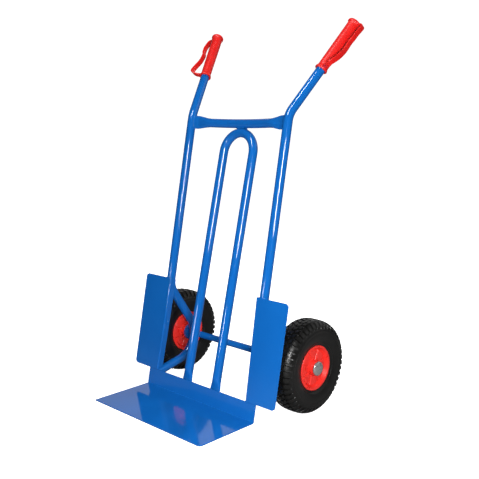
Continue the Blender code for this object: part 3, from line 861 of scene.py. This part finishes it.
def circle(centre, first, second, radius, start=0, end=360, steps=48):
    """Points on an arc in the plane of two unit vectors; a whole turn has no double point."""
    whole = end - start == 360
    count = steps if whole else steps + 1
    points = []
    for i in range(count):
        angle = math.radians(start + (end - start) * i / steps)
        points.append(centre + first * (radius * math.cos(angle)) + second * (radius * math.sin(angle)))
    return points


def cross_tube_welds():
    """A bead round each pressed end of the cross tube, on the upright's surface."""
    points = []
    for i in range(64):
        angle = 2 * math.pi * i / 64
        up = (FLAT_HALF_WIDTH + 0.0004) * math.sin(angle)
        off = (FLAT_HALF_THICK + 0.0004) * math.cos(angle)
        x = UPRIGHT_X - math.sqrt(TUBE_R**2 - off**2)
        points.append(on_frame(x, CROSS_S + up, TUBE_R + off))
    return [weld_bead(points, X_AXIS, 0.0016, closed=True)]


def loop_welds():
    """Beads in the two valleys between the loop's arch and the cross tube."""
    beads = []
    touch_s = CROSS_S - TUBE_R
    for off in (-1, 1):
        points = []
        for i in range(17):
            x = -0.016 + 0.002 * i
            drop = LOOP_X - math.sqrt(LOOP_X**2 - x**2)
            points.append(on_frame(x, touch_s - drop * 0.5, TUBE_R + CROSS_BOW + off * (0.0050 + drop)))
        beads.append(weld_bead(points, on_frame(0, 1, 0), 0.0022))
    return beads


def guard_welds():
    """Beads that hold the right guard: across its top, down its back, and where it meets the lip."""
    across = on_frame(0, 0, 1)
    up = on_frame(0, 1, 0)
    top = [on_frame(UPRIGHT_X - 0.008 + 0.002 * i, GUARD_TOP_S, 0.0006) for i in range(9)]
    beads = [weld_bead(top, across, 0.0016)]
    for start in (0.285, 0.205):
        points = [on_frame(UPRIGHT_X + 0.0052, start + 0.003 * i, 0.0004) for i in range(9)]
        beads.append(weld_bead(points, up.cross(across), 0.0016))
    seam = [on_frame(0.187 + 0.004 * i, GUARD_BOTTOM_S - 0.0004, 0.0002) for i in range(9)]
    beads.append(weld_bead(seam, across, 0.0011))
    return beads


def foot_welds():
    """Beads round the upright's foot and beside the loop's pressed foot, on the back of the lip."""
    path = upright_path()
    foot = path[-1]
    along = (path[-1] - path[-2]).normalized()
    normal = on_frame(0, 0, 1)
    plane = on_frame(UPRIGHT_X, 0, PLATE_THICK + GAP)
    centre = foot + along * ((plane - foot).dot(normal) / along.dot(normal))
    ring = circle(centre, X_AXIS, on_frame(0, 1, 0), TUBE_R + 0.0006)
    beads = [weld_bead(ring, normal, 0.0018, closed=True)]
    for off in (-1, 1):
        x = LOOP_X + off * (FLAT_HALF_WIDTH - 0.0008)
        points = [on_frame(x, LOOP_FOOT_S + 0.003 * i, PLATE_THICK + 0.0010) for i in range(12)]
        beads.append(weld_bead(points, X_AXIS, 0.0017))
    return beads


def axle_welds():
    """Beads where the upright wraps the front of the axle, and between the upright and the collar."""
    behind = Vector((0, 1, 0))
    up = Vector((0, 0, 1))
    inner = AXLE_CENTRE + X_AXIS * (UPRIGHT_X - TUBE_R + 0.0030)
    outer = AXLE_CENTRE + X_AXIS * (UPRIGHT_X + TUBE_R - 0.0002)
    arcs = (
        (inner, AXLE_R + 0.0010, 112, 248, 20),
        (outer, BOSS_R - 0.0040, 60, 125, 16),
        (outer, BOSS_R - 0.0040, 235, 300, 16),
    )
    return [weld_bead(circle(centre, behind, up, *arc), X_AXIS, 0.0018) for centre, *arc in arcs]


def welds():
    for side, name in SIDES:
        whole = bmesh.new()
        for bead in (*cross_tube_welds(), *guard_welds(), *foot_welds(), *axle_welds()):
            join_into(whole, bead)
        make_piece(f"{name}_frame_welds", for_side(whole, side), "blue_coat", "frame")
    whole = bmesh.new()
    for bead in loop_welds():
        join_into(whole, bead)
    make_piece("loop_welds", whole, "blue_coat", "frame")


# --------- wheels

LUG_COUNT = 46
LUG_DEPTH = 0.0045
# Share of a lug's pitch, and whether the tread is up there
LUG_COLUMNS = ((0.00, 1), (0.18, 1), (0.36, 1), (0.54, 1), (0.62, 0), (0.92, 0))
# Outer side of the tyre's section from the crown to the bead: (x, radius)
TYRE_OUTSIDE = (
    (0.0000, 0.1300), (0.0120, 0.1297), (0.0215, 0.1286), (0.0300, 0.1250),
    (0.0360, 0.1190), (0.0398, 0.1110), (0.0416, 0.1010), (0.0415, 0.0900),
    (0.0392, 0.0785), (0.0356, 0.0695), (0.0334, 0.0645), (0.0318, 0.0592),
)
TYRE_INSIDE = ((0.0240, 0.0588), (0.0345, 0.0900), (0.0310, 0.1120), (0.0150, 0.1185), (0.0000, 0.1195))
# Raised rings moulded on the sidewall: (radius, height, half width)
SIDEWALL_RINGS = ((0.1012, 0.0005, 0.0008), (0.0985, 0.0005, 0.0008), (0.0712, 0.0007, 0.0014))


def tyre_stations():
    """Half a section, crown to bead: (point, outward normal, tread depth, tread up, shift of the lugs)."""
    fine = spline([Vector((x, r, 0)) for x, r in TYRE_OUTSIDE], 14)
    stations = []
    lengths = [0.0]
    for a, b in zip(fine, fine[1:]):
        lengths.append(lengths[-1] + (b - a).length)
    # (distance along the section, tread up or not, lugs' shift in pitches)
    marks = (
        (0.0000, 0, 0.50), (0.0012, 0, 0.50), (0.0018, 1, 0.50), (0.0060, 1, 0.36), (0.0105, 1, 0.22),
        (0.0112, 0, 0.20), (0.0132, 0, 0.00), (0.0139, 1, -0.02), (0.0180, 1, -0.12), (0.0225, 1, -0.24),
        (0.0232, 0, -0.26), (0.0252, 0, -0.08), (0.0259, 1, -0.08), (0.0300, 1, -0.04), (0.0345, 1, 0.00),
        (0.0390, 1, 0.00), (0.0430, 1, 0.00), (0.0465, 0.92, 0.00), (0.0490, 0.70, 0.00),
        (0.0505, 0.25, 0.00), (0.0515, 0.00, 0.00),
    )
    for distance, is_up, shift in marks:
        stations.append((distance, LUG_DEPTH, is_up, shift))
    tail = 0.0525
    while tail < lengths[-1]:
        stations.append((tail, 0.0, 1, 0.0))
        tail += 0.0007
    stations.append((lengths[-1], 0.0, 1, 0.0))
    result = []
    for distance, depth, is_up, shift in stations:
        i = max(k for k in range(len(lengths) - 1) if lengths[k] <= distance)
        t = (distance - lengths[i]) / (lengths[i + 1] - lengths[i])
        point = fine[i].lerp(fine[i + 1], t)
        along = (fine[i + 1] - fine[i]).normalized()
        normal = Vector((-along.y, along.x, 0))
        if normal.x < 0 or (normal.x == 0 and normal.y < 0):
            normal = -normal
        if depth > 0:
            depth *= min(1.0, max(0.0, (0.0530 - distance) / 0.012))
        for radius, rise, half in SIDEWALL_RINGS:
            near = abs(point.y - radius) / half
            if depth == 0 and near < 1.6:
                point = point + normal * rise * max(0.0, 1 - near**4)
        result.append((point, normal, depth, is_up, shift))
    return result


def tyre():
    """Tyre with staggered tread blocks, lugs that wrap over the shoulders, and ringed sidewalls."""
    half = tyre_stations()
    rows = [*reversed(half)]
    rows += [(Vector((-p.x, p.y, 0)), Vector((-n.x, n.y, 0)), *rest) for p, n, *rest in half[1:]]
    pitch = 2 * math.pi / LUG_COUNT
    bm = bmesh.new()
    rings = []
    for point, normal, depth, is_up, shift in rows:
        ring = []
        for lug in range(LUG_COUNT):
            for share, column_up in LUG_COLUMNS:
                sink = depth * (1 - is_up * column_up)
                place = point - normal * sink
                angle = pitch * (lug + share + shift)
                ring.append(bm.verts.new((place.x, place.y * math.cos(angle), place.y * math.sin(angle))))
        rings.append(ring)
    inside = [(-x, r) for x, r in TYRE_INSIDE] + [(x, r) for x, r in reversed(TYRE_INSIDE[:-1])]
    angles = [pitch * (lug + share) for lug in range(LUG_COUNT) for share, _ in LUG_COLUMNS]
    for x, radius in inside:
        rings.append([bm.verts.new((x, radius * math.cos(a), radius * math.sin(a))) for a in angles])
    skin_rings(bm, [*rings, rings[0]])
    return bm


def rim_half():
    """One moulded half of the rim: seat, rolled lip, dished web with raised panels and ribs, and hub."""
    middle = GAP / 2
    corners = (
        ((middle, 0.0475), 0), ((0.0130, 0.0480), 0.0020), ((0.0170, 0.0570), 0.0020),
        ((0.0312, 0.0580), 0.0005), ((0.0322, 0.0624), 0.0004), ((0.0346, 0.0624), 0.0011),
        ((0.0346, 0.0560), 0.0012), ((0.0225, 0.0505), 0.0020), ((0.0225, 0.0205), 0.0018),
        ((HUB_HALF, 0.0195), 0.0007), ((HUB_HALF, SLEEVE_R + GAP), 0.0006),
        ((middle, SLEEVE_R + GAP), 0), ((middle, 0.0195), 0), ((0.0205, 0.0205), 0.0010),
        ((0.0205, 0.0440), 0.0010), ((middle, 0.0445), 0),
    )
    return turned_rounded([c for c, _ in corners], [r for _, r in corners], 120, 5)


def rim_rib():
    """One low radial rib between hub and dish wall, thinner towards its top."""
    bm = bmesh.new()
    rows = []
    for radius, top in ((0.0190, 0.0276), (0.0245, 0.0256), (0.0420, 0.0249), (0.0515, 0.0256)):
        section = []
        for across, x in ((-0.0006, 0.0215), (-0.0005, top - 0.0003), (-0.0003, top), (0.0003, top),
                          (0.0005, top - 0.0003), (0.0006, 0.0215)):
            section.append(bm.verts.new((x, radius, across)))
        rows.append(section)
    closed_skin(bm, rows)
    return bm


def rim_panel():
    """A raised pad between two ribs, with sloped sides."""
    bm = bmesh.new()
    half_turn = math.pi / RIB_COUNT
    shares = [k / 5 - 1 for k in range(11)]
    levels = []
    for x, margin in ((0.0218, 0.0000), (0.0258, 0.0004), (0.0264, 0.0010)):
        outline = []
        for radius, order in ((0.0492 - margin, shares), (0.0240 + margin, shares[::-1])):
            reach = half_turn - (margin + 0.0017) / radius
            outline += [(radius, reach * share) for share in order]
        levels.append([bm.verts.new((x, r * math.cos(a), r * math.sin(a))) for r, a in outline])
    closed_skin(bm, levels)
    return bm


def rim_shape():
    """A rim half with its ribs and raised panels, as overlapping closed bodies of one moulding."""
    whole = rim_half()
    for i in range(RIB_COUNT):
        for shape, offset in ((rim_rib(), 0.5), (rim_panel(), 0.0)):
            turn = Matrix.Rotation(2 * math.pi * (i + offset) / RIB_COUNT, 4, "X")
            shape.transform(turn)
            join_into(whole, shape)
    return whole


def valve_path(end_x):
    up = Vector((0, 0, 1))
    top = up * 0.0640 + X_AXIS * VALVE_OFFSET
    corner = up * VALVE_RING_R + X_AXIS * VALVE_OFFSET
    end = up * VALVE_RING_R + X_AXIS * end_x
    return bent_path([top, corner, end], [0.005], [10])


def valve_stem():
    """Stem with rolled threads near its end."""
    path = valve_path(VALVE_END)
    start = path[-2]
    end = path[-1]
    count = 40
    path = path[:-1] + [start.lerp(end, (k + 1) / count) for k in range(count)]
    sizes = []
    for i in range(len(path)):
        from_end = len(path) - 1 - i
        groove = 0.0003 if from_end < 24 and from_end % 2 else 0.0
        sizes.append((VALVE_R - groove,) * 2)
    return solid_rod(path, Vector((0, 1, 0)), sizes, 24)


def valve_cap():
    """Cap with a knurled skirt and a domed end."""
    start = VALVE_END - GAP
    rows = ((0, 0.94, 1), (0.08, 1.0, 1), (0.70, 1.0, 1), (0.78, 0.92, 0), (0.92, 0.78, 0), (1.0, 0.50, 0))
    bm = bmesh.new()
    rings = []
    for share, size, knurled in rows:
        ring = []
        for k in range(48):
            angle = 2 * math.pi * k / 48
            radius = VALVE_CAP_R * size - (0.00035 if knurled and k % 4 in (2, 3) else 0.0)
            x = start - VALVE_CAP_LENGTH * share
            ring.append(bm.verts.new((x, radius * math.cos(angle), radius * math.sin(angle))))
        rings.append(ring)
    closed_skin(bm, rings)
    bmesh.ops.translate(bm, vec=(0, 0, VALVE_RING_R), verts=bm.verts)
    return bm


def wheels():
    for side, name in SIDES:
        hub = ORIGIN + AXLE_CENTRE + X_AXIS * (side * WHEEL_X)
        body = f"{name}_wheel"

        def place(label, bm, slot, node):
            return make_piece(f"{name}_{label}", for_side(bm, side), slot, body, [f"{name}_{node}"], hub)

        place("tyre_tread", tyre(), "tyre_black", "tyre")
        place("rim_outer_half", rim_shape(), "rim_red", "rim_outer")
        place("rim_inner_half", mirrored(rim_shape()), "rim_red", "rim_inner")
        place("valve_stem_threaded", valve_stem(), "bright_steel", "valve_stem")
        place("valve_cap_knurled", valve_cap(), "cap_black", "valve_cap")


# --------- grips


def grip_axes():
    """Where the right grip starts, and the two directions square to the handle that its guard turns in."""
    start = on_frame(UPRIGHT_X, HANDLE_BEND_S, TUBE_R) + HANDLE_DIRECTION * GRIP_START
    out = (X_AXIS - HANDLE_DIRECTION * X_AXIS.dot(HANDLE_DIRECTION)).normalized()
    forward = out.cross(HANDLE_DIRECTION)
    if forward.y > 0:
        forward = -forward
    return start, out, forward


def grip_body():
    """Sleeve closed at the top, with a ring at each end and a bore for the tube."""
    bore_r = TUBE_R + GAP
    bore_end = HANDLE_TUBE_END - GRIP_START + 2 * GAP
    top = GRIP_LENGTH
    corners = (
        ((0, bore_r), 0), ((0, GRIP_RING_R - 0.0006), 0.0014),
        ((0.0040, GRIP_RING_R - 0.0008), 0.0020), ((0.0110, GRIP_R_LOW), 0.0040),
        ((top - 0.0115, GRIP_R_HIGH), 0.0025), ((top - 0.0075, GRIP_RING_R), 0.0016),
        ((top, GRIP_RING_R), 0.0050), ((top, 0), 0), ((bore_end, 0), 0),
        ((bore_end, bore_r), 0),
    )
    return turned_rounded([c for c, _ in corners], [r for _, r in corners], 72, 6)


def strap_body(points, across):
    """A flat band along a path, with rounded edges."""
    corners = [(a * STRAP_HALF_WIDTH, b * STRAP_HALF_THICK) for a, b in ((-1, -1), (1, -1), (1, 1), (-1, 1))]
    section = rounded_outline(corners, (STRAP_EDGE_R,) * 4, 3)
    bm = bmesh.new()
    rings = []
    last = len(points) - 1
    for i, point in enumerate(points):
        along = (points[min(i + 1, last)] - points[max(i - 1, 0)]).normalized()
        wide = (across - along * across.dot(along)).normalized()
        thick = along.cross(wide)
        rings.append([bm.verts.new(point + wide * a + thick * b) for a, b in section])
    closed_skin(bm, rings)
    return bm


def grips():
    start, out, forward = grip_axes()
    turn = X_AXIS.rotation_difference(HANDLE_DIRECTION).to_matrix().to_4x4()
    for side, name in SIDES:
        whole = grip_body()
        whole.transform(Matrix.Translation(start) @ turn)
        points = []
        for along, away, degrees in spline([Vector(station) for station in STRAP_STATIONS], 5):
            angle = math.radians(degrees)
            direction = out * math.cos(angle) + forward * math.sin(angle)
            points.append(start + HANDLE_DIRECTION * along + direction * away)
        join_into(whole, strap_body(points, forward))
        whole = for_side(whole, side)
        obj = make_piece(f"{name}_grip_moulding", whole, "grip_red", "frame", [f"{name}_grip"])
        remesh = obj.modifiers.new("fuse", "REMESH")
        remesh.mode = "VOXEL"
        remesh.voxel_size = 0.0010
        smooth = obj.modifiers.new("soften", "SMOOTH")
        smooth.iterations = 8
        apply_modifiers(obj)
        obj.data.shade_smooth()


# --------- carried-over CAD nodes


def carry_over():
    """The inner pieces keep their CAD meshes and get the same kinds of material."""
    slots = {"inner_tube": "tube_black", "hub_sleeve": "bright_steel", "outer_bearing": "bright_steel",
             "inner_bearing": "bright_steel"}
    for _, name in SIDES:
        for node, slot in slots.items():
            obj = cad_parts[f"{name}_{node}"]
            obj.data.materials.clear()
            obj.data.materials.append(MATERIALS[slot])


# --------- stage


def pick_by_ray(tree, ray, chosen, other):
    """Shows one shader to one kind of ray and the other shader to the rest."""
    light_path = tree.nodes.new("ShaderNodeLightPath")
    mix = tree.nodes.new("ShaderNodeMixShader")
    tree.links.new(light_path.outputs[ray], mix.inputs["Fac"])
    tree.links.new(other, mix.inputs[1])
    tree.links.new(chosen, mix.inputs[2])
    return mix.outputs["Shader"]


def make_floor():
    """A pale floor, bright to the camera and dim in the reflections."""
    bm = bmesh.new()
    bmesh.ops.create_grid(bm, x_segments=1, y_segments=1, size=14)
    mesh = bpy.data.meshes.new("floor")
    bm.to_mesh(mesh)
    bm.free()
    s = Shader(
        "floor_white",
        Base_Color=(0.90, 0.90, 0.90, 1),
        Roughness=0.9,
        Specular_IOR_Level=0.1,
        Emission_Color=(1, 1, 1, 1),
        Emission_Strength=1.0,
    )
    dim = s.tree.nodes.new("ShaderNodeBsdfDiffuse")
    dim.inputs["Color"].default_value = (0.22, 0.22, 0.22, 1)
    output = s.tree.nodes["Material Output"]
    mixed = pick_by_ray(s.tree, "Is Camera Ray", s.principled.outputs["BSDF"], dim.outputs["BSDF"])
    s.tree.links.new(mixed, output.inputs["Surface"])
    mesh.materials.append(s.material)
    floor = add_object("floor", mesh)
    floor.location.z = -0.0006


def make_world():
    """A white wall behind the truck and a dark room round it, with plain white for the camera."""
    world = bpy.data.worlds.new("studio")
    bpy.context.scene.world = world
    world.use_nodes = True
    tree = world.node_tree
    tree.nodes.clear()
    coords = tree.nodes.new("ShaderNodeTexCoord")
    split = tree.nodes.new("ShaderNodeSeparateXYZ")
    tree.links.new(coords.outputs["Generated"], split.inputs["Vector"])

    def times(first, second):
        node = tree.nodes.new("ShaderNodeMath")
        node.operation = "MULTIPLY"
        tree.links.new(first, node.inputs[0])
        tree.links.new(second, node.inputs[1])
        return node.outputs["Value"]

    behind = map_range(tree, split.outputs["Y"], 0.05, 0.35, 0.0, 1.0)
    above_floor = map_range(tree, split.outputs["Z"], 0.16, 0.28, 0.0, 1.0)
    below_ceiling = map_range(tree, split.outputs["Z"], 0.55, 0.85, 1.0, 0.0)
    wall = times(times(behind, above_floor), below_ceiling)
    room = tree.nodes.new("ShaderNodeBackground")
    tree.links.new(map_range(tree, wall, 0.0, 1.0, 0.035, 0.80), room.inputs["Strength"])

    def plain(strength):
        node = tree.nodes.new("ShaderNodeBackground")
        node.inputs["Color"].default_value = (1, 1, 1, 1)
        node.inputs["Strength"].default_value = strength
        return node.outputs["Background"]

    output = tree.nodes.new("ShaderNodeOutputWorld")
    mixed = pick_by_ray(tree, "Is Diffuse Ray", plain(0.16), room.outputs["Background"])
    mixed = pick_by_ray(tree, "Is Camera Ray", plain(1.1), mixed)
    tree.links.new(mixed, output.inputs["Surface"])


def area_light(name, at, target, size, power, shine=True, fill=True):
    """A rectangular lamp; it can leave out the glossy reflections, or give only them."""
    data = bpy.data.lights.new(name, "AREA")
    data.shape = "RECTANGLE"
    data.size, data.size_y = size
    data.energy = power
    light = add_object(name, data)
    light.location = at
    light.rotation_euler = (Vector(target) - Vector(at)).to_track_quat("-Z", "Y").to_euler()
    light.visible_camera = False
    light.visible_glossy = shine
    light.visible_diffuse = fill


def make_lights():
    """A key right of the camera, two tall cards that only gloss shows, and overhead, back and low lamps."""
    area_light("key", (1.35, -1.10, 0.72), (0.05, -0.05, 0.35), (0.40, 0.40), 38, shine=False)
    area_light("key_card", (1.35, -1.10, 0.92), (0.05, -0.05, 0.50), (0.13, 0.50), 30, fill=False)
    area_light("high_card", (0.18, -1.04, 2.00), (0.20, 0.20, 0.95), (0.25, 0.90), 28, fill=False)
    area_light("overhead", (0.00, 0.10, 2.60), (0.00, -0.10, 0.00), (0.60, 0.60), 20, shine=False)
    area_light("back", (-0.50, 2.20, 1.40), (0.00, 0.00, 0.50), (0.80, 0.80), 22, shine=False)
    area_light("low_left", (-0.10, -2.30, 0.45), (0.10, 0.00, 0.20), (0.25, 0.25), 9)


def make_camera():
    data = bpy.data.cameras.new("camera")
    data.lens = 54.57
    data.sensor_width = 36
    camera = add_object("camera", data)
    camera.location = ORIGIN + Vector((1.4591, -1.3373, 0.7904))
    camera.rotation_euler = (math.radians(90 - 9.167), 0, math.radians(43.939))
    bpy.context.scene.camera = camera


toe_plate()
uprights()
cross_tube()
centre_loop()
guard_panels()
axle_parts()
welds()
wheels()
grips()
carry_over()
make_floor()
make_world()
make_lights()
make_camera()
bpy.context.scene.view_settings.view_transform = "Standard"
